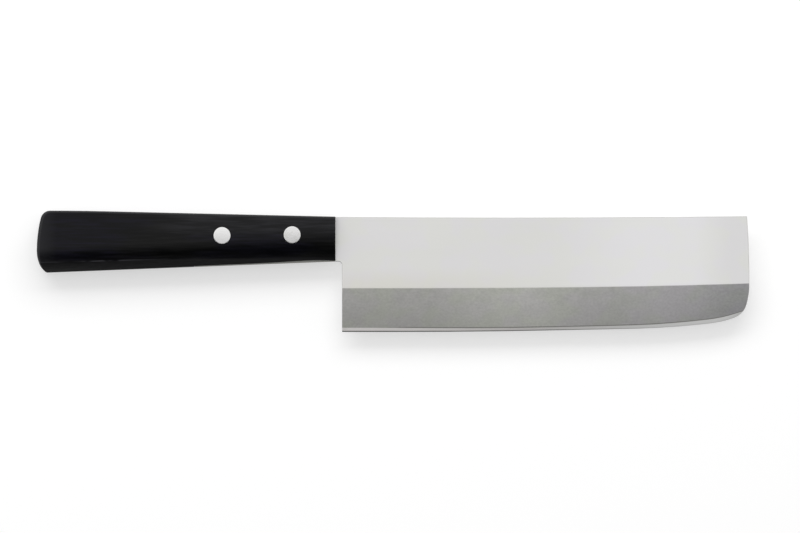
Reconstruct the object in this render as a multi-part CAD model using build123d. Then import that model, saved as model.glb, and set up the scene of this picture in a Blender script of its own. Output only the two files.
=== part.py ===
from build123d import *
import math
import os

# Nakiri knife with a half tang, lying on its side. Millimetres.
# +X runs from the butt of the handle to the tip, +Y from the edge to the spine,
# +Z up through the thickness. The origin is below the middle of the knife's
# length and height, on the surface that the handle lies on.

# Blade
blade_length = 165.0  # heel to tip
blade_height = 46.9  # edge at the heel to the tip's upper corner
stock_thickness = 2.0  # the rolled sheet, left as it is on the tang
cheek_grind = 0.1  # what the surface grinder takes off each cheek
neck_length = 2.7  # bare steel between the handle and the heel
choil_radius = 1.6  # inside corner between the neck and the heel
spine_fall = 0.3  # how far the neck's top stands below the tip's upper corner
spine_hollow = 0.4  # how far the middle of the spine falls below a straight line
blank_ease = 0.2  # corners rounded all round the blank, before it is ground

# Grinds of the blade
shinogi_height = 18.05  # ridge line above the edge, at the heel
shinogi_rise = 1.9  # how much further the ridge has climbed at the tip
shinogi_power = 2.8  # how late along the blade it climbs
foot_thickness = 0.6  # steel left where the main bevel meets the cutting bevel
cutting_bevel_height = 1.7  # where it is widest, at the heel
edge_land = 0.05  # thickness of the apex
grind_past_share = 0.3  # how far a grind runs on past both of its lines

# Curve of the edge: places along the blade, and how far the edge has risen
belly_rise = 9.0  # height of the curve at its end, just past the tip
belly_overshoot = 2.0  # how far past the tip the curve is carried
station_shares = (0.0, 0.14, 0.39, 0.63, 0.77, 0.87, 0.93, 0.965, 1.0)
belly_shares = (0.0, 0.001, 0.034, 0.115, 0.186, 0.335, 0.512, 0.735, 1.0)
cutting_bevel_shares = (1.0, 0.94, 0.74, 0.76, 0.88, 0.96, 0.94, 0.78, 0.34)

# Tip end
tip_lean = 0.9  # the spine's corner stands this far behind the foremost point
tip_point_height = 19.4  # foremost point above the edge
tip_round_radius = 30.0  # lower part of the end
tip_corner_radius = 8.0  # where the end runs into the edge

# Tang
tang_length = 57.0
tang_hole_diameter = 5.2

# Handle
handle_length = 120.85
handle_front_drop = 0.18  # its top starts this far below the tip's upper corner
handle_front_height = 18.2
handle_butt_height = 25.13  # from the top down to the corner of belly and butt
handle_rise = 2.25  # the butt's top stands this far above the tip's upper corner
handle_crown_length = 22.0  # rear part of the top edge, which curves to level
handle_front_thickness = 15.7
handle_butt_thickness = 16.7
handle_edge_round = 1.2  # along the top and round the butt
belly_lip = 0.9  # flat wood along the belly, on each side of the saw kerf
belly_round_share = 0.8  # share of the lip that its rounding takes
front_crown_height = 13.0  # where each side starts to lean in, above the belly
butt_crown_height = 16.0
front_lean_depth = 1.3  # how far in it has leaned where it meets the facet's plane
butt_lean_depth = 0.3
crown_share = 0.34  # share of the leaning part that the rounding above it takes
front_facet_height = 5.5  # where the belly facet's plane would meet the side
butt_facet_height = 6.6
front_shoulder_share = 0.6  # share of the leaning part that the shoulder takes
butt_shoulder_share = 0.35
arris_height = 4.2  # crisp upper line of the planed part of the facet, at the butt
arris_end_height = 3.5  # the same line where the planed part runs out
arris_turn = 5.0  # degrees that the planed part turns from the facet, at the butt
arris_length = 66.0  # from the butt to where the planed part runs out

# Butt end, measured from its foremost point
butt_nose_depth = 16.35  # foremost point below the top
butt_end_radius = 56.0
butt_top_radius = 4.0
butt_tuck_inset = 0.87  # where the end starts to turn under
butt_tuck_drop = 5.0
butt_corner_inset = 3.86  # corner of belly and butt

# Saw kerf, and the relief that leaves the tang proud of the wood
kerf_clearance = 0.05  # on each face of the tang
kerf_end_gap = 0.15
relief_depth = 0.87  # where it is deepest
relief_place_shares = (0.0, 0.3, 0.6, 0.82, 1.0)  # from the kerf's end to the front
relief_depth_shares = (0.44, 0.54, 0.73, 1.0, 0.35)

# Two-part rivets
rivet_distances = {"front": 17.5, "rear": 45.86}  # behind the handle's front
rivet_drops = {"front": 7.33, "rear": 7.64}  # below the top of the handle's front
rivet_head_diameter = 6.9
rivet_head_thickness = 1.8
rivet_head_stand = 0.2  # how far the middle of a head stands out of the wood
rivet_dome_radius = 40.0
rivet_head_ease = 0.25
rivet_sleeve_diameter = 5.0
rivet_bore_diameter = 3.0
rivet_fit = 0.01  # gap between the post and the bore, all round
rivet_floor_gap = 1.0  # left past the end of the post, and of the sleeve
rivet_seat_clearance = 0.1  # gap between a head or a sleeve and the wood
rivet_post_ease = 0.3

overrun = 5.0  # how far a cutting body reaches past what it cuts

# Places that follow from the sizes
overall_length = handle_length + neck_length + blade_length
overall_height = blade_height + handle_rise
cheek_thickness = stock_thickness - 2 * cheek_grind
kerf_width = stock_thickness + 2 * kerf_clearance
butt_x = -overall_length / 2
front_x = butt_x + handle_length
heel_x = front_x + neck_length
tip_x = heel_x + blade_length
top_y = overall_height / 2
spine_y = top_y - handle_rise
handle_front_y = spine_y - handle_front_drop
edge_y = -overall_height / 2
middle_z = handle_butt_thickness / 2
belly_front_y = handle_front_y - handle_front_height
belly_butt_y = top_y - handle_butt_height
corner_x = butt_x + butt_corner_inset
kerf_end_x = front_x - tang_length - kerf_end_gap

# The butt's top corner touches the level crown and the end's large arc
crown_reach = math.sqrt(
    (butt_end_radius - butt_top_radius) ** 2 - (butt_nose_depth - butt_top_radius) ** 2
)
crown_x = butt_x + butt_end_radius - crown_reach
crown_slope = (top_y - handle_front_y) / (front_x - crown_x - handle_crown_length / 2)

# Heights of the three lines of the grinds above the edge at the heel
edge_heights = [belly_rise * share for share in belly_shares]
foot_heights = [
    height + cutting_bevel_height * share
    for share, height in zip(cutting_bevel_shares, edge_heights)
]
shinogi_heights = [
    shinogi_height + shinogi_rise * share**shinogi_power for share in station_shares
]


def between(x, x_from, x_to, value_from, value_to):
    """A value that changes evenly from one place to another."""
    return value_from + (value_to - value_from) * (x - x_from) / (x_to - x_from)


def belly_y(x):
    """Straight line of the handle's belly, which the tang and the neck share."""
    return between(x, corner_x, front_x, belly_butt_y, belly_front_y)


def top_edge_y(x):
    """Straight front part of the handle's top edge, which the tang shares."""
    return handle_front_y + crown_slope * (front_x - x)


def half_thickness(x):
    """Half of the handle's thickness, which tapers a little towards the front."""
    return between(x, butt_x, front_x, handle_butt_thickness, handle_front_thickness) / 2


def level(z):
    """Plane of the knife's side view, at a height above its middle plane."""
    return Plane((0, 0, middle_z + z))


def across(x):
    """Plane across the knife, with its own X up the height and Y up the thickness."""
    return Plane((x, 0, middle_z), x_dir=(0, 1, 0), z_dir=(1, 0, 0))


def plate(face, thickness):
    """A face drawn in the side view, thickened evenly about the middle plane."""
    return extrude(level(-thickness / 2) * face, thickness)


def both_sides(body):
    return body + mirror(body, about=level(0))


def disc(diameter, thickness, z, plane):
    """A round body that rises from a height above the plane."""
    low_end = (Align.CENTER, Align.CENTER, Align.MIN)
    return plane * Pos(0, 0, z) * Cylinder(diameter / 2, thickness, align=low_end)


def upright_edge(body, x, y):
    """The edge along Z that stands nearest to a place in the side view."""
    place = Vector(x, y, middle_z)
    upright = [edge for edge in body.edges() if (edge @ 0 - edge @ 1).Z != 0]
    return min(upright, key=lambda edge: (edge.center() - place).length)


def rivet_plane(name):
    """Plane across a rivet, at the knife's middle plane."""
    x = front_x - rivet_distances[name]
    return Plane((x, handle_front_y - rivet_drops[name], middle_z))


def side_over(name):
    """Place on the upper side of the handle over a rivet, and the way out of it."""
    line = Axis(rivet_plane(name).origin, (0, 0, 1))
    return handle_block().find_intersection_points(line)[-1]


def head_seat(name):
    """Height at which a rivet's head is seated in the wood, above the middle plane."""
    place, way_out = side_over(name)
    return place.Z - middle_z + rivet_head_stand - rivet_head_thickness


def line_along_blade(heights):
    """Smooth line through one height above the heel for each station."""
    reach = blade_length + belly_overshoot
    points = [
        (heel_x + share * reach, edge_y + height)
        for share, height in zip(station_shares, heights)
    ]
    return Spline(*points)


def grind(low_heights, low_thickness, high_heights, high_thickness):
    """Steel that a pair of flat grinds takes off, one on each side of the blade.

    Each ground face is straight from a low line, where the blade keeps one
    thickness, up to a high line, where it keeps another.
    """
    faces = []
    for share in (-grind_past_share, 1 + grind_past_share):
        thickness = low_thickness + share * (high_thickness - low_thickness)
        line = line_along_blade(
            [low + share * (high - low) for low, high in zip(low_heights, high_heights)]
        )
        start = line @ 0
        end = line @ 1
        below = edge_y - overrun
        behind = start.X - overrun
        rim = Polyline(
            end, (end.X, below), (behind, below), (behind, start.Y), start
        )
        faces.append(level(thickness / 2) * make_face([line, rim]))
    return both_sides(loft(faces, ruled=True))


def blank_outline():
    """Blade and neck from the side, before the tip end is cut to its curve."""
    edge = line_along_blade(edge_heights)
    far = edge @ 1
    end = Line(far, (far.X, spine_y))
    middle = ((far.X + front_x) / 2, spine_y - spine_fall / 2 - spine_hollow)
    spine = ThreePointArc(end @ 1, middle, (front_x, spine_y - spine_fall))
    rim = Polyline(
        spine @ 1,
        (front_x, belly_front_y),
        (heel_x, belly_y(heel_x)),
        (heel_x, edge_y),
    )
    return make_face([edge, end, spine, rim])


def upper_end_outline():
    """All that lies behind the tip end's upper curve, and straight down from it."""
    foremost = (tip_x, edge_y + tip_point_height)
    low = edge_y - overrun
    curve = TangentArc(foremost, (tip_x - tip_lean, spine_y), tangent=(0, 1))
    rim = Polyline(
        curve @ 1, (butt_x, spine_y), (butt_x, low), (tip_x, low), foremost
    )
    return make_face([curve, rim])


def lower_end_outline():
    """All that lies behind the tip end's lower curve, or above the foremost point."""
    foremost = (tip_x, edge_y + tip_point_height)
    centre = (tip_x - tip_round_radius, foremost[1])
    curve = CenterArc(centre, tip_round_radius, 0, -90)
    bottom = curve @ 1
    past_x = tip_x + overrun
    rim = Polyline(
        bottom,
        (butt_x, bottom.Y),
        (butt_x, spine_y),
        (past_x, spine_y),
        (past_x, foremost[1]),
        foremost,
    )
    return make_face([curve, rim])


def make_tang():
    """Rear part of the blank, held between the two cheeks of the handle."""
    rear_x = front_x - tang_length
    outline = Polyline(
        (front_x, handle_front_y),
        (rear_x, top_edge_y(rear_x)),
        (rear_x, belly_y(rear_x)),
        (front_x, belly_front_y),
        close=True,
    )
    tang = plate(make_face(outline), stock_thickness)
    for name in rivet_distances:
        low = -stock_thickness
        tang = tang - disc(tang_hole_diameter, -2 * low, low, rivet_plane(name))
    return tang


def blank_corners(blank):
    """Corners round both faces, but for the front end and the edge to be ground."""
    round_faces = [edge for edge in blank.edges() if (edge @ 0 - edge @ 1).Z == 0]
    past_front = ShapeList(round_faces).sort_by(Axis.X)[2:]
    return past_front.sort_by(Axis.Y)[2:]


def make_blade():
    """One stamping with a half tang, ground on both sides."""
    blade = plate(blank_outline(), cheek_thickness)
    blade = blade & plate(upper_end_outline(), cheek_thickness)
    blade = fillet(upright_edge(blade, heel_x, belly_y(heel_x)), choil_radius)
    blade = fillet(blank_corners(blade), blank_ease)
    blade = blade & plate(lower_end_outline(), cheek_thickness)
    blade = fillet(upright_edge(blade, tip_x, edge_y + belly_rise), tip_corner_radius)
    blade = blade - grind(foot_heights, foot_thickness, shinogi_heights, cheek_thickness)
    blade = blade - grind(edge_heights, edge_land, foot_heights, foot_thickness)
    return blade + make_tang()


def handle_outline():
    """Outline of the handle seen from the side."""
    nose = (butt_x, top_y - butt_nose_depth)
    crown_rear = (crown_x, top_y)
    crown_front = (
        crown_x + handle_crown_length,
        top_edge_y(crown_x + handle_crown_length),
    )
    reach = butt_end_radius / (butt_end_radius - butt_top_radius)
    shoulder = (
        butt_x + butt_end_radius - reach * crown_reach,
        nose[1] + reach * (butt_nose_depth - butt_top_radius),
    )
    tuck = (butt_x + butt_tuck_inset, nose[1] - butt_tuck_drop)
    corner = (corner_x, belly_butt_y)
    top = Line((front_x, handle_front_y), crown_front)
    crown = TangentArc(crown_rear, crown_front, tangent=(1, 0))
    top_corner = TangentArc(crown_rear, shoulder, tangent=(-1, 0))
    end = TangentArc(nose, shoulder, tangent=(0, 1))
    turn = TangentArc(nose, tuck, tangent=(0, -1))
    under = TangentArc(tuck, corner, tangent=turn % 1)
    belly = Polyline(corner, (front_x, belly_front_y), (front_x, handle_front_y))
    return make_face([top, crown, top_corner, end, turn, under, belly])


def belly_flat():
    """Half width of the flat along the handle's belly."""
    return kerf_width / 2 + belly_lip


def facet_height(x):
    return between(x, butt_x, front_x, butt_facet_height, front_facet_height)


def lean_depth(x):
    """How far each side has leaned in where it would meet the facet's plane."""
    return between(x, butt_x, front_x, butt_lean_depth, front_lean_depth)


def facet_tilt(x):
    """Angle between the knife's level and the facet below the shoulder."""
    rise = half_thickness(x) - lean_depth(x) - belly_flat()
    return math.atan2(rise, facet_height(x))


def handle_section(x):
    """Across the handle: crowned sides, round shoulders, a facet on each side below."""
    half = half_thickness(x)
    low = belly_y(x)
    high = top_y + overrun
    crown = low + between(x, butt_x, front_x, butt_crown_height, front_crown_height)
    knee = low + facet_height(x)
    knee_half = half - lean_depth(x)
    lean = math.atan2(lean_depth(x), crown - knee)
    lean_length = math.hypot(lean_depth(x), crown - knee)
    crown_round = crown_share * lean_length / math.tan(lean / 2)
    share = between(x, butt_x, front_x, butt_shoulder_share, front_shoulder_share)
    shoulder = share * lean_length / math.tan((facet_tilt(x) - lean) / 2)
    lip_turn = math.pi / 2 - facet_tilt(x)
    lip_round = belly_round_share * belly_lip / math.tan(lip_turn / 2)
    rim = FilletPolyline(
        (high, -half),
        (crown, -half),
        (knee, -knee_half),
        (low, -belly_flat()),
        (low, belly_flat()),
        (knee, knee_half),
        (crown, half),
        (high, half),
        radius=(crown_round, shoulder, lip_round, lip_round, shoulder, crown_round),
    )
    return across(x) * make_face([rim, Line(rim @ 1, rim @ 0)])


def handle_block():
    """The tapering block that the handle's outline is cut from."""
    return loft([handle_section(butt_x - overrun), handle_section(front_x)], ruled=True)


def planed_section(x, turn):
    """Triangle over a facet, hinged on the arris, that the plane takes off."""
    tilt = facet_tilt(x)
    down = tilt + math.radians(turn)
    reach = handle_butt_thickness
    height = between(x, butt_x, butt_x + arris_length, arris_height, arris_end_height)
    arris = Vector(belly_y(x) + height, belly_flat() + height * math.tan(tilt))
    low = arris - reach * Vector(math.cos(down), math.sin(down))
    out = arris + reach * Vector(-math.sin(tilt), math.cos(tilt))
    return across(x) * make_face(Polyline(arris, low, out, close=True))


def planed_facets():
    """Wood planed off the belly facets, less and less away from the butt."""
    rear = planed_section(butt_x - overrun, arris_turn)
    run_out = planed_section(butt_x + arris_length, 0)
    return both_sides(loft([rear, run_out], ruled=True))


def belly_relief():
    """Wood sanded away below the tang's edge, from the kerf's end to the front."""
    points = []
    for place, depth in zip(relief_place_shares, relief_depth_shares):
        x = kerf_end_x + place * (front_x - kerf_end_x)
        points.append((x, belly_y(x) + depth * relief_depth))
    line = Spline(*points)
    past_front = (front_x + overrun, (line @ 1).Y)
    low = belly_butt_y - overrun
    rim = Polyline(
        line @ 1, past_front, (past_front[0], low), (kerf_end_x, low), line @ 0
    )
    return plate(make_face([line, rim]), 2 * handle_butt_thickness)


def saw_kerf():
    """Slot for the tang, open at the front, the top and the belly."""
    past_x = front_x + overrun
    low = belly_butt_y - overrun
    high = top_y + overrun
    outline = Polyline(
        (kerf_end_x, low), (past_x, low), (past_x, high), (kerf_end_x, high), close=True
    )
    return plate(make_face(outline), kerf_width)


def rivet_seats(name):
    """Hole for a rivet's sleeve, with a seat for a head at each end."""
    plane = rivet_plane(name)
    seat = head_seat(name)
    head_hole = rivet_head_diameter + 2 * rivet_seat_clearance
    sleeve_hole = rivet_sleeve_diameter + 2 * rivet_seat_clearance
    upper = disc(head_hole, rivet_head_thickness + overrun, seat, plane)
    return both_sides(upper) + disc(sleeve_hole, 2 * seat, -seat, plane)


def make_handle():
    """One block of black laminated wood, sawn for the tang."""
    block = handle_block() & plate(handle_outline(), 2 * handle_butt_thickness)
    top_edges = [
        edge
        for edge in block.edges()
        if edge.center().Y > spine_y and edge.length > handle_length / 2
    ]
    block = fillet(top_edges, handle_edge_round)
    block = block - planed_facets() - belly_relief() - saw_kerf()
    for name in rivet_distances:
        block = block - rivet_seats(name)
    return block


def rivet_head(name):
    """A head in its upper seat, domed square to the wood, its rim eased."""
    place, way_out = side_over(name)
    centre = place + way_out * (rivet_head_stand - rivet_dome_radius)
    dome = Plane(centre, x_dir=(1, 0, 0), z_dir=(0, 1, 0)) * Sphere(rivet_dome_radius)
    seat = head_seat(name)
    head = disc(
        rivet_head_diameter, rivet_head_thickness + overrun, seat, rivet_plane(name)
    )
    head = head & dome
    return fillet(head.edges().sort_by(Axis.Z)[-1], rivet_head_ease)


def make_rivet_post(name):
    """Solid half of a rivet: the upper head, and the post that enters the sleeve."""
    seat = head_seat(name)
    low = rivet_floor_gap - seat
    diameter = rivet_bore_diameter - 2 * rivet_fit
    post = disc(diameter, seat - low, low, rivet_plane(name))
    post = chamfer(post.edges().group_by(Axis.Z)[0], rivet_post_ease)
    return rivet_head(name) + post


def make_rivet_sleeve(name):
    """Hollow half of a rivet: the lower head, and the sleeve with its bore."""
    plane = rivet_plane(name)
    seat = head_seat(name)
    length = 2 * seat - rivet_floor_gap
    tube = disc(rivet_sleeve_diameter, length, -seat, plane)
    tube = tube - disc(rivet_bore_diameter, length, -seat, plane)
    return mirror(rivet_head(name), about=level(0)) + tube


nodes = {"blade": make_blade(), "handle": make_handle()}
for rivet in rivet_distances:
    nodes[rivet + "_rivet_post"] = make_rivet_post(rivet)
    nodes[rivet + "_rivet_sleeve"] = make_rivet_sleeve(rivet)

os.makedirs("parts", exist_ok=True)
for node, body in nodes.items():
    export_step(body, os.path.join("parts", node + ".step"))
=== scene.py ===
import math
import bpy
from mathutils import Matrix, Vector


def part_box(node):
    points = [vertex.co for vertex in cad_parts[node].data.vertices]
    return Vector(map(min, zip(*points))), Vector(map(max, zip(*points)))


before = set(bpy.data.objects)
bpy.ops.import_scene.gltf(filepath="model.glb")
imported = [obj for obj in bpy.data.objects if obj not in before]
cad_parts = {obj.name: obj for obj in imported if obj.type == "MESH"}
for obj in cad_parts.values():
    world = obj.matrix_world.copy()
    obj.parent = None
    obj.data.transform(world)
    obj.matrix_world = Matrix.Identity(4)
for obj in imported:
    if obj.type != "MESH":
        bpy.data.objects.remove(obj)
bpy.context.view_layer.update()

# Nakiri knife lying flat on a white table, seen from straight above.
# Metres. +X runs from the butt of the handle to the tip, +Y from the edge to the
# spine, +Z up. Sizes that are written in millimetres are turned to metres by MM.

MM = 0.001
NECK_LENGTH = 2.7 * MM

# Places on the knife, taken from the solids
handle_low, handle_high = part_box("handle")
blade_low, blade_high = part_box("blade")
middle_z = (handle_low[2] + handle_high[2]) / 2
butt_x = handle_low[0]
front_x = handle_high[0]
heel_x = front_x + NECK_LENGTH
tip_x = blade_high[0]
edge_y = blade_low[1]
belly_y = handle_low[1]
top_y = handle_high[1]

# Half thickness of the blade where one ground face ends and the next begins
FOOT_HALF = 0.3 * MM
CHEEK_HALF = 0.9 * MM

# Upper line of the planed facet on each side of the handle's belly
ARRIS_LENGTH = 66 * MM
arris_end_x = butt_x + ARRIS_LENGTH
arris_butt_y = belly_y + 4.04 * MM
arris_end_y = belly_y + 5.88 * MM

# The resin's blue cast comes and goes along the handle
CAST_SPACING = 75 * MM
CAST_START = math.radians(-68.5)
CAST_SWING = -0.15

# Camera and table
VIEW_CENTRE = (2.735 * MM, 1.95 * MM)
VIEW_WIDTH = 324.2 * MM
CAMERA_HEIGHT = 5.0
SENSOR_WIDTH = 36.0
TABLE_WIDTH = 8.0

# Window
WINDOW_SIZE = (1.6, 0.56)
WINDOW_DISTANCE = 1.2
WINDOW_RISE = math.radians(44)
WINDOW_TURN = math.radians(98)
WINDOW_WATTS = 10.0

# Settings that many nodes share, and the range in which most of a noise lies
SOFT = {"interpolation_type": "SMOOTHSTEP"}
COLOURS = {"data_type": "RGBA"}
DARKEN = {"data_type": "RGBA", "blend_type": "MULTIPLY"}
TIMES = {"operation": "MULTIPLY"}
TIMES_PLUS = {"operation": "MULTIPLY_ADD"}
LESS = {"operation": "SUBTRACT"}
UNSIGNED = {"operation": "ABSOLUTE"}
LARGER = {"operation": "MAXIMUM"}
NOISE_SPAN = {1: 0.3, 2: 0.7}


def linear(code):
    """An sRGB hex colour as the linear colour that a shader takes."""
    shades = [int(code[i : i + 2], 16) / 255 for i in (0, 2, 4)]
    curve = [s / 12.92 if s <= 0.04045 else ((s + 0.055) / 1.055) ** 2.4 for s in shades]
    return (*curve, 1.0)


def fill(node, inputs):
    """Gives each input of a node a value, or a link from a node or one of its outputs.
    A node is linked from its first output in use."""
    for name, value in inputs.items():
        if isinstance(value, bpy.types.Node):
            value = next(socket for socket in value.outputs if socket.enabled)
        if isinstance(value, bpy.types.NodeSocket):
            node.id_data.links.new(value, node.inputs[name])
        else:
            node.inputs[name].default_value = value


def add(tree, kind, inputs, **settings):
    """Adds a node, with its settings and with a value or a link for each input.

    Mix takes its share at 0, numbers at 2 and 3, and colours at 6 and 7. MapRange
    spreads 0 from the range 1 to 2 over the range 3 to 4, or else over 0 to 1.
    """
    made = tree.nodes.new("ShaderNode" + kind)
    for name, value in settings.items():
        setattr(made, name, value)
    fill(made, inputs)
    return made


def start_material(name, grains):
    """A material with its tree, its shader, its places and directions on the object,
    and a noise for each grain, whose cells have one size in millimetres along each
    axis."""
    material = bpy.data.materials.new(name)
    material.use_nodes = True
    tree = material.node_tree
    spot = add(tree, "TexCoord", {}).outputs
    place = add(tree, "SeparateXYZ", {0: spot["Object"]}).outputs
    facing = add(tree, "SeparateXYZ", {0: spot["Normal"]}).outputs
    noises = {}
    for grain, (sizes, detail) in grains.items():
        scale = [1 / (size * MM) for size in sizes]
        cells = add(tree, "Mapping", {"Vector": spot["Object"], "Scale": scale})
        inputs = {"Vector": cells, "Scale": 1.0, "Detail": detail, "Roughness": 0.55}
        noises[grain] = add(tree, "TexNoise", inputs)
    return material, tree, tree.nodes["Principled BSDF"], place, facing, noises


def place_camera():
    """Looks straight down on the knife with a long lens, as the photograph does."""
    data = bpy.data.cameras.new("camera")
    data.sensor_width = SENSOR_WIDTH
    data.lens = SENSOR_WIDTH * CAMERA_HEIGHT / VIEW_WIDTH
    data.clip_start = 0.01
    data.clip_end = 100.0
    camera = bpy.data.objects.new("camera", data)
    camera.location = (*VIEW_CENTRE, CAMERA_HEIGHT + middle_z)
    bpy.context.scene.collection.objects.link(camera)
    bpy.context.scene.camera = camera


def lay_table():
    """Matt white table top, which shows white where no shadow falls."""
    material = bpy.data.materials.new("matt_white_painted_board")
    material.use_nodes = True
    tree = material.node_tree
    shader = tree.nodes["Principled BSDF"]
    paint = {"Base Color": linear("EEEEEE"), "Roughness": 0.9, "Specular IOR Level": 0.1}
    fill(shader, paint)
    rays = add(tree, "LightPath", {}).outputs
    seen = rays["Is Camera Ray"]
    for ray in ("Is Glossy Ray", "Is Transmission Ray"):
        seen = add(tree, "Math", {0: seen, 1: rays[ray]}, **LARGER)
    shade = add(tree, "BsdfDiffuse", {"Color": linear("C2C2C2")})
    glow = add(tree, "Emission", {"Color": linear("FFFFFF"), "Strength": 0.54})
    white = add(tree, "AddShader", {0: shade, 1: glow})
    chosen = add(tree, "MixShader", {0: seen, 1: shader, 2: white})
    fill(tree.nodes["Material Output"], {"Surface": chosen})

    mesh = bpy.data.meshes.new("table")
    half = TABLE_WIDTH / 2
    corners = [(-half, -half, 0), (half, -half, 0), (half, half, 0), (-half, half, 0)]
    mesh.from_pydata(corners, [], [(0, 1, 2, 3)])
    mesh.materials.append(material)
    table = bpy.data.objects.new("table", mesh)
    bpy.context.scene.collection.objects.link(table)


def light_room():
    """Studio round the table: a white panel overhead that falls off toward the edge's
    side, a pale wall behind the spine, a dark wall in front of the edge, and white
    all round at the level of the table. The camera sees plain white, and so do the
    knife's reflections, but for the panel and a black flag in front of the edge."""
    world = bpy.data.worlds.new("studio")
    world.use_nodes = True
    bpy.context.scene.world = world
    tree = world.node_tree
    direction = add(tree, "TexCoord", {}).outputs["Generated"]
    axes = add(tree, "SeparateXYZ", {0: direction}).outputs
    rays = add(tree, "LightPath", {}).outputs
    sideways = add(tree, "Math", {0: axes["X"]}, **UNSIGNED)

    # Parts of the room, each with where it starts and where it is full
    spans = {
        "pale wall": {0: axes["Y"], 1: -0.45, 2: 0.0},
        "panel": {0: axes["Z"], 1: 0.80, 2: 0.93},
        "low": {0: axes["Z"], 1: 0.10, 2: 0.03},
        "beside the flag": {0: sideways, 1: 0.45, 2: 0.65},
        "behind the flag": {0: axes["Y"], 1: -0.35, 2: -0.05},
    }
    share = {part: add(tree, "MapRange", span, **SOFT) for part, span in spans.items()}
    off_flag = {0: share["beside the flag"], 1: share["behind the flag"]}
    off_flag = add(tree, "Math", off_flag, **LARGER)
    mirrored = add(tree, "Math", {0: off_flag, 1: rays["Is Glossy Ray"]}, **TIMES)
    toward_edge = add(tree, "MapRange", {0: axes["Y"], 1: -0.04, 2: -0.44})
    panel = {0: toward_edge, 6: linear("F3F3F3"), 7: linear("BEBEBE")}
    layers = (
        (share["pale wall"], linear("DADADA")),
        (share["low"], linear("F4F4F4")),
        (mirrored, linear("F4F4F4")),
        (share["panel"], add(tree, "Mix", panel, **COLOURS)),
        (rays["Is Camera Ray"], linear("FFFFFF")),
    )
    colour = linear("2A2A2A")
    for amount, layer in layers:
        colour = add(tree, "Mix", {0: amount, 6: colour, 7: layer}, **COLOURS)
    fill(tree.nodes["Background"], {"Color": colour, "Strength": 1.0})


def hang_window():
    """A soft window behind the spine, which faces the middle of the knife. It shows
    in no reflection."""
    data = bpy.data.lights.new("window", "AREA")
    data.shape = "RECTANGLE"
    data.size, data.size_y = WINDOW_SIZE
    data.energy = WINDOW_WATTS
    window = bpy.data.objects.new("window", data)
    level_distance = WINDOW_DISTANCE * math.cos(WINDOW_RISE)
    window.location = (
        level_distance * math.cos(WINDOW_TURN),
        level_distance * math.sin(WINDOW_TURN),
        WINDOW_DISTANCE * math.sin(WINDOW_RISE),
    )
    window.rotation_euler = (math.pi / 2 - WINDOW_RISE, 0, WINDOW_TURN + math.pi / 2)
    window.visible_camera = False
    window.visible_glossy = False
    bpy.context.scene.collection.objects.link(window)


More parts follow.
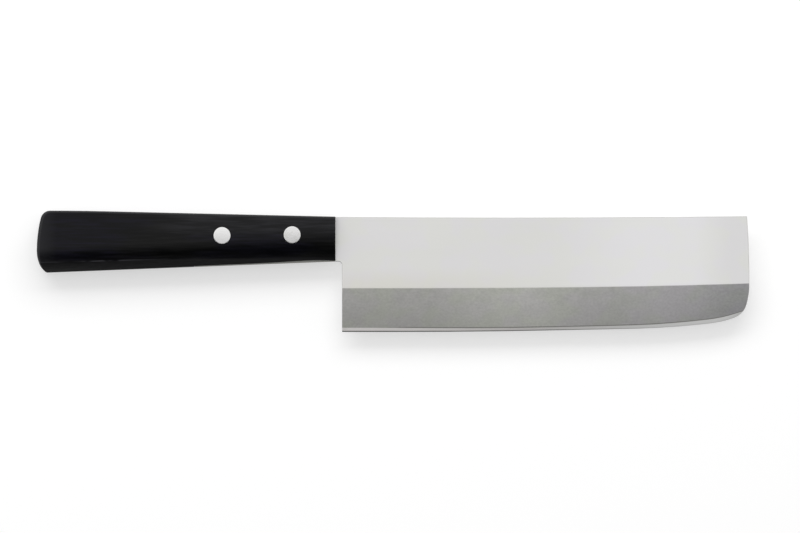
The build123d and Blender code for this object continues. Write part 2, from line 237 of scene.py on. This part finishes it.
def ground_stainless_steel():
    """Hardened stainless cutlery steel, ground in three steps. The cheeks are surface
    ground to a pale satin, with a painted reflection that makes them a shade paler toward
    the tip. The main bevels are stone ground to a duller grey, with the mottle that the
    grit leaves; painted shade darkens them toward the edge and toward the tip, and a
    painted reflection makes them brightest halfway along. The cutting bevels are honed,
    so they are the brightest, but for painted shade along the apex.

    The grit's own marks are under a tenth of a millimetre. They are drawn about
    0.9 mm wide, because finer ones don't show.
    """
    grains = {
        "mottle": ((1.0, 0.8, 0.8), 2.0),
        "patches": ((5.0, 3.5, 3.5), 2.0),
        "cloud": ((34.0, 22.0, 22.0), 1.0),
        "cast": ((12.0, 9.0, 9.0), 1.0),
        "satin": ((30.0, 0.5, 0.5), 2.0),
        "belt": ((0.4, 0.4, 9.0), 2.0),
    }
    steel, tree, shader, place, facing, noise = start_material(
        "ground_stainless_cutlery_steel", grains
    )
    x = place["X"]
    offset = add(tree, "Math", {0: place["Z"], 1: middle_z}, **LESS)
    half = add(tree, "Math", {0: offset}, **UNSIGNED)
    level = add(tree, "Math", {0: facing["Z"]}, **UNSIGNED)
    off_middle = add(tree, "Math", {0: x, 1: heel_x + 71 * MM}, **LESS)
    off_middle = add(tree, "Math", {0: off_middle}, **UNSIGNED)

    # Where each of these starts, and where it is full
    spans = {
        # Faces
        "main bevel": {0: half, 1: CHEEK_HALF - 0.004 * MM, 2: CHEEK_HALF - 0.02 * MM},
        "cutting bevel": {0: half, 1: FOOT_HALF + 0.004 * MM, 2: FOOT_HALF - 0.004 * MM},
        "apex": {0: half, 1: 0.12 * MM, 2: 0.07 * MM},
        "wall": {0: level, 1: 0.985, 2: 0.85},
        "tang": {0: x, 1: front_x, 2: front_x - 0.3 * MM},
        # Parts of the step over the cutting bevel, and of the choil's wall
        "step's top": {0: half, 1: FOOT_HALF + 0.020 * MM, 2: FOOT_HALF + 0.012 * MM},
        "step's foot": {0: half, 1: FOOT_HALF - 0.004 * MM, 2: FOOT_HALF + 0.004 * MM},
        "past the heel": {0: x, 1: heel_x + 13 * MM, 2: heel_x + 29 * MM},
        "by the neck": {0: x, 1: front_x + 5.5 * MM, 2: front_x + 3.5 * MM},
        "facing down": {0: facing["Y"], 1: -0.1, 2: -0.5},
        # Changes along the blade and across it
        "near the heel": {0: x, 1: heel_x + 101 * MM, 2: heel_x + 21 * MM},
        "near the ridge": {0: place["Y"], 1: edge_y + 27.5 * MM, 2: edge_y + 18.5 * MM},
        "near the middle": {0: off_middle, 1: 44 * MM, 2: 0.0},
        "front half": {0: x, 1: heel_x + 76 * MM, 2: heel_x + 126 * MM},
        "front of the edge": {0: x, 1: heel_x + 66 * MM, 2: heel_x + 136 * MM},
        "short of the tip": {0: x, 1: tip_x - 6 * MM, 2: tip_x - 24 * MM},
        "at the tip": {0: x, 1: tip_x - 36 * MM, 2: tip_x - 1 * MM},
        "cast": {0: noise["cast"], 1: 0.4, 2: 0.6},
    }
    share = {part: add(tree, "MapRange", span, **SOFT) for part, span in spans.items()}
    # Painted shade along the apex, which fades toward the tip
    fading = add(tree, "MapRange", {0: share["front of the edge"], 3: 1.0, 4: 0.15})
    apex = add(tree, "Math", {0: share["apex"], 1: fading}, **TIMES)
    # Painted shade along the step over the cutting bevel, from a little past the heel
    step = add(tree, "Math", {0: share["step's top"], 1: share["step's foot"]}, **TIMES)
    step = add(tree, "Math", {0: step, 1: share["past the heel"]}, **TIMES)
    # Painted shade where the rounded edge of the choil and neck faces down
    choil = add(tree, "Math", {0: share["by the neck"], 1: share["facing down"]}, **TIMES)

    # Cheeks: a painted reflection makes them a shade paler toward the tip; a little warmer
    # near the ridge by the heel
    paler = {0: share["front half"], 1: share["short of the tip"]}
    paler = add(tree, "Math", paler, **TIMES)
    warmer = {0: share["near the heel"], 1: share["near the ridge"]}
    warmer = add(tree, "Math", warmer, **TIMES)
    cheek = linear("E6E6E6")
    for amount, code in ((noise["cloud"], "E9E9E8"), (paler, "EFEFF0"), (warmer, "E3E2DE")):
        cheek = add(tree, "Mix", {0: amount, 6: cheek, 7: linear(code)}, **COLOURS)
    tint = {0: share["cast"], 6: linear("FFFFFC"), 7: linear("FFFEFF")}
    tint = add(tree, "Mix", tint, **COLOURS)
    cheek = add(tree, "Mix", {0: 1.0, 6: cheek, 7: tint}, **DARKEN)

    # Main bevels: a painted reflection makes them brightest halfway along, and painted
    # shade darkest at the tip, where they are also least warm
    changes = {"near the middle": "C9C8C5", "front half": "BDBBBC", "at the tip": "ACABAD"}
    bevel = linear("BAB9B6")
    for part, code in changes.items():
        bevel = add(tree, "Mix", {0: share[part], 6: bevel, 7: linear(code)}, **COLOURS)
    # Painted shade, darker toward the edge
    painted_shade_toward_edge = add(tree, "MapRange", {0: half, 1: CHEEK_HALF, 2: FOOT_HALF})
    spots = add(tree, "MapRange", {0: noise["mottle"], **NOISE_SPAN})
    patches = add(tree, "MapRange", {0: noise["patches"], **NOISE_SPAN})
    tint = {0: share["cast"], 6: linear("F9FCF6"), 7: linear("FBFBFC")}
    tint = add(tree, "Mix", tint, **COLOURS)
    bevel = add(tree, "Mix", {0: 1.0, 6: bevel, 7: tint}, **DARKEN)
    for amount, code in ((painted_shade_toward_edge, "E8E8E8"), (spots, "F3F3F3"), (patches, "F8F8F8")):
        bevel = add(tree, "Mix", {0: amount, 6: bevel, 7: linear(code)}, **DARKEN)

    # All faces, with painted shade on the step over the cutting bevel, along the apex and
    # where the choil and neck face down, and the tang darker for its rolled finish and for
    # painted shade under the wood
    honed = {0: share["front of the edge"], 6: linear("E8E5E3"), 7: linear("E6E6E5")}
    layers = (
        (share["main bevel"], bevel),
        (step, linear("7E7E7A")),
        (share["cutting bevel"], add(tree, "Mix", honed, **COLOURS)),
        (apex, linear("565654")),
        (share["wall"], linear("C8C8C4")),
        (choil, linear("3E3E3C")),
        # The tang is darker for its rolled finish, and with painted shade under the wood
        (share["tang"], linear("8C8C88")),
    )
    colour = cheek
    for amount, layer in layers:
        colour = add(tree, "Mix", {0: amount, 6: colour, 7: layer}, **COLOURS)

    satin = add(tree, "MapRange", {0: noise["satin"], **NOISE_SPAN, 3: 0.285, 4: 0.315})
    dull = add(tree, "MapRange", {0: noise["mottle"], **NOISE_SPAN, 3: 0.40, 4: 0.50})
    belt = add(tree, "MapRange", {0: noise["belt"], **NOISE_SPAN, 3: 0.30, 4: 0.46})
    rough = satin
    for part, finish in (("main bevel", dull), ("cutting bevel", 0.28), ("wall", belt)):
        rough = add(tree, "Mix", {0: share[part], 2: rough, 3: finish})

    marks = add(tree, "Mix", {0: share["wall"], 2: noise["mottle"], 3: noise["belt"]})
    relief = {"Height": marks, "Strength": 1.0, "Distance": 0.001 * MM}
    finish = {"Base Color": colour, "Roughness": rough, "Normal": add(tree, "Bump", relief)}
    # The ground surface also scatters some light all ways
    fill(shader, {**finish, "Metallic": 0.8})
    return steel


def black_laminated_wood():
    """Birch veneers pressed with black resin, shaped and sanded to a low sheen. The
    veneers' grain runs along the handle and shows as faint streaks, some of them with
    the resin's blue cast. The upper band of the front half and the end by the butt carry
    painted sheen; the arris over the planed facet, the back and the butt's rounded edge
    carry painted highlights; the lower front half carries painted shade."""
    grains = {
        "streaks": ((14.0, 0.9, 0.9), 2.0),
        "fibres": ((5.0, 0.45, 0.45), 2.0),
        "cloud": ((26.0, 8.0, 8.0), 2.0),
        "breaks": ((6.0, 3.0, 3.0), 1.0),
    }
    wood, tree, shader, place, facing, noise = start_material(
        "black_resin_laminated_wood", grains
    )
    x = place["X"]
    y = place["Y"]

    # Height above the arris, which falls toward the butt
    arris_y = {0: x, 1: butt_x, 2: arris_end_x, 3: arris_butt_y, 4: arris_end_y}
    arris_y = add(tree, "MapRange", arris_y)
    above = add(tree, "Math", {0: y, 1: arris_y}, **LESS)
    apart = add(tree, "Math", {0: above}, **UNSIGNED)

    # Where each of these starts, and where it is full
    spans = {
        # Buffed band
        # Band of painted sheen
        "upper": {0: y, 1: top_y - 11.5 * MM, 2: top_y - 7.5 * MM},
        "front half": {0: x, 1: butt_x + 40 * MM, 2: butt_x + 68 * MM},
        "level": {0: facing["Z"], 1: 0.86, 2: 0.99},
        # Painted highlight along the arris, faint by the butt, which fades where the
        # planing runs out
        "line": {0: apart, 1: 0.35 * MM, 2: 0.1 * MM},
        "run in": {0: x, 1: butt_x + 6 * MM, 2: butt_x + 24 * MM, 3: 0.4, 4: 1.0},
        "run out": {0: x, 1: arris_end_x - 6.6 * MM, 2: arris_end_x - 39.6 * MM},
        "breaks": {0: noise["breaks"], 1: 0.25, 2: 0.55},
        "planed": {0: above, 1: 0.0, 2: -0.6 * MM},
        # Painted highlights on the rounded edges along the back and at the butt
        "back": {0: facing["Y"], 1: 0.2, 2: 0.6},
        "butt's round": {0: facing["X"], 1: -0.02, 2: -0.2},
        "before its end": {0: facing["X"], 1: -0.7, 2: -0.45},
        # Streaks, which are fainter low on the front half: painted shade there
        "streaks": {0: noise["streaks"], 1: 0.36, 2: 0.74},
        "low": {0: y, 1: top_y - 8.5 * MM, 2: top_y - 15.5 * MM, 3: 1.0, 4: 0.25},
    }
    share = {part: add(tree, "MapRange", span, **SOFT) for part, span in spans.items()}
    calmer = add(tree, "MapRange", {0: share["front half"], 3: 0.5, 4: 1.0})
    fainter = add(tree, "Mix", {0: share["front half"], 2: 1.0, 3: share["low"]})
    products = {
        "band": (share["upper"], share["front half"], share["level"]),
        "arris": (share["line"], share["run in"], share["run out"], share["breaks"]),
        "rounded": (share["butt's round"], share["before its end"]),
        "streaked": (share["streaks"], calmer, fainter),
    }
    for part, (product, *factors) in products.items():
        for factor in factors:
            product = add(tree, "Math", {0: product, 1: factor}, **TIMES)
        share[part] = product

    # Blue cast of some of the streaks
    wave = 2 * math.pi / CAST_SPACING
    turn = add(tree, "Math", {0: x, 1: wave, 2: CAST_START - wave * butt_x}, **TIMES_PLUS)
    swing = {0: add(tree, "Math", {0: turn}, operation="COSINE"), 1: CAST_SWING}
    cast = add(tree, "Math", {**swing, 2: noise["cloud"]}, **TIMES_PLUS)
    cast = add(tree, "MapRange", {0: cast, 1: 0.38, 2: 0.62}, **SOFT)

    fibres = add(tree, "MapRange", {0: noise["fibres"], 1: 0.35, 2: 0.65})
    tones = {
        "dark": {0: cast, 6: linear("040407"), 7: linear("040404")},
        "pale": {0: cast, 6: linear("181625"), 7: linear("191919")},
        # Tone of the painted sheen on the band
        "painted sheen": {0: share["streaked"], 6: linear("121214"), 7: linear("262629")},
        "shaved": {0: fibres, 6: linear("020202"), 7: linear("151517")},
    }
    tone = {name: add(tree, "Mix", span, **COLOURS) for name, span in tones.items()}
    # Painted sheen by the butt's end
    painted_sheen_by_butt = add(tree, "MapRange", {0: x, 1: butt_x + 8 * MM, 2: butt_x + 0.5 * MM})
    layers = (
        (share["streaked"], tone["pale"]),
        (share["band"], tone["painted sheen"]),
        (painted_sheen_by_butt, linear("202023")),
        (share["planed"], tone["shaved"]),
        (share["arris"], linear("46464A")),
        (share["back"], linear("282829")),
        (share["rounded"], linear("2C2C2E")),
    )
    colour = tone["dark"]
    for amount, layer in layers:
        colour = add(tree, "Mix", {0: amount, 6: colour, 7: layer}, **COLOURS)

    # Planed wood is duller than sanded wood, most of all under the arris
    under = add(tree, "MapRange", {0: above, 1: -3.5 * MM, 2: 0.0})
    dull = add(tree, "MapRange", {0: under, 3: 0.35, 4: 0.50})
    rough = add(tree, "MapRange", {0: noise["streaks"], **NOISE_SPAN, 3: 0.28, 4: 0.40})
    rough = add(tree, "Mix", {0: share["planed"], 2: rough, 3: dull})

    # The planed facet is a little crowned, most of all at the butt
    flatter = add(tree, "MapRange", {0: x, 1: arris_end_x, 2: butt_x + 10 * MM})
    crown = add(tree, "Math", {0: under, 1: under}, **TIMES)
    crown = add(tree, "Math", {0: crown, 1: flatter}, **TIMES)
    crown = {"Height": crown, "Strength": 1.0, "Distance": 0.5 * MM}
    relief = add(tree, "Bump", crown, invert=True)
    for grain, depth in (("streaks", 0.01 * MM), ("fibres", 0.003 * MM)):
        grooves = {"Height": noise[grain], "Strength": 1.0, "Distance": depth}
        relief = add(tree, "Bump", {**grooves, "Normal": relief})
    finish = {"Base Color": colour, "Roughness": rough, "Normal": relief}
    fill(shader, {**finish, "IOR": 1.5, "Specular IOR Level": 0.19})
    return wood


def sanded_rivet_steel():
    """Turned stainless rivets, sanded level with the wood by hand and polished: nearly
    white, with fine scratches. These are drawn 0.3 mm wide so that they show. The
    front rivet, nearer the fingers, is the more worn."""
    grains = {"scratches": ((3.0, 0.3, 0.3), 3.0), "cloud": ((2.5, 2.0, 2.0), 2.0)}
    rivet, tree, shader, place, _, noise = start_material("sanded_stainless_rivet", grains)
    nearer = {0: place["X"], 1: front_x - 35 * MM, 2: front_x - 25 * MM, 3: 0.1, 4: 1.0}
    nearer = add(tree, "MapRange", nearer)
    worn = add(tree, "MapRange", {0: noise["cloud"], 1: 0.45, 2: 0.65})
    worn = add(tree, "Math", {0: worn, 1: nearer}, **TIMES)
    colour = linear("F4F3F3")
    for amount, code in ((noise["scratches"], "FFFFFE"), (worn, "F2F2EF")):
        colour = add(tree, "Mix", {0: amount, 6: colour, 7: linear(code)}, **COLOURS)
    rough = add(tree, "MapRange", {0: noise["cloud"], **NOISE_SPAN, 3: 0.14, 4: 0.24})
    relief = {"Height": noise["scratches"], "Strength": 1.0, "Distance": 0.002 * MM}
    finish = {"Base Color": colour, "Roughness": rough, "Normal": add(tree, "Bump", relief)}
    fill(shader, {**finish, "Metallic": 1.0})
    return rivet


def dress(names, material):
    """Gives the CAD solids their finish."""
    for name in names:
        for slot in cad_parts[name].material_slots:
            slot.material = material


place_camera()
lay_table()
light_room()
hang_window()

dress(["blade"], ground_stainless_steel())
dress(["handle"], black_laminated_wood())
dress([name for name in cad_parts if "rivet" in name], sanded_rivet_steel())

bpy.context.scene.view_settings.view_transform = "Standard"
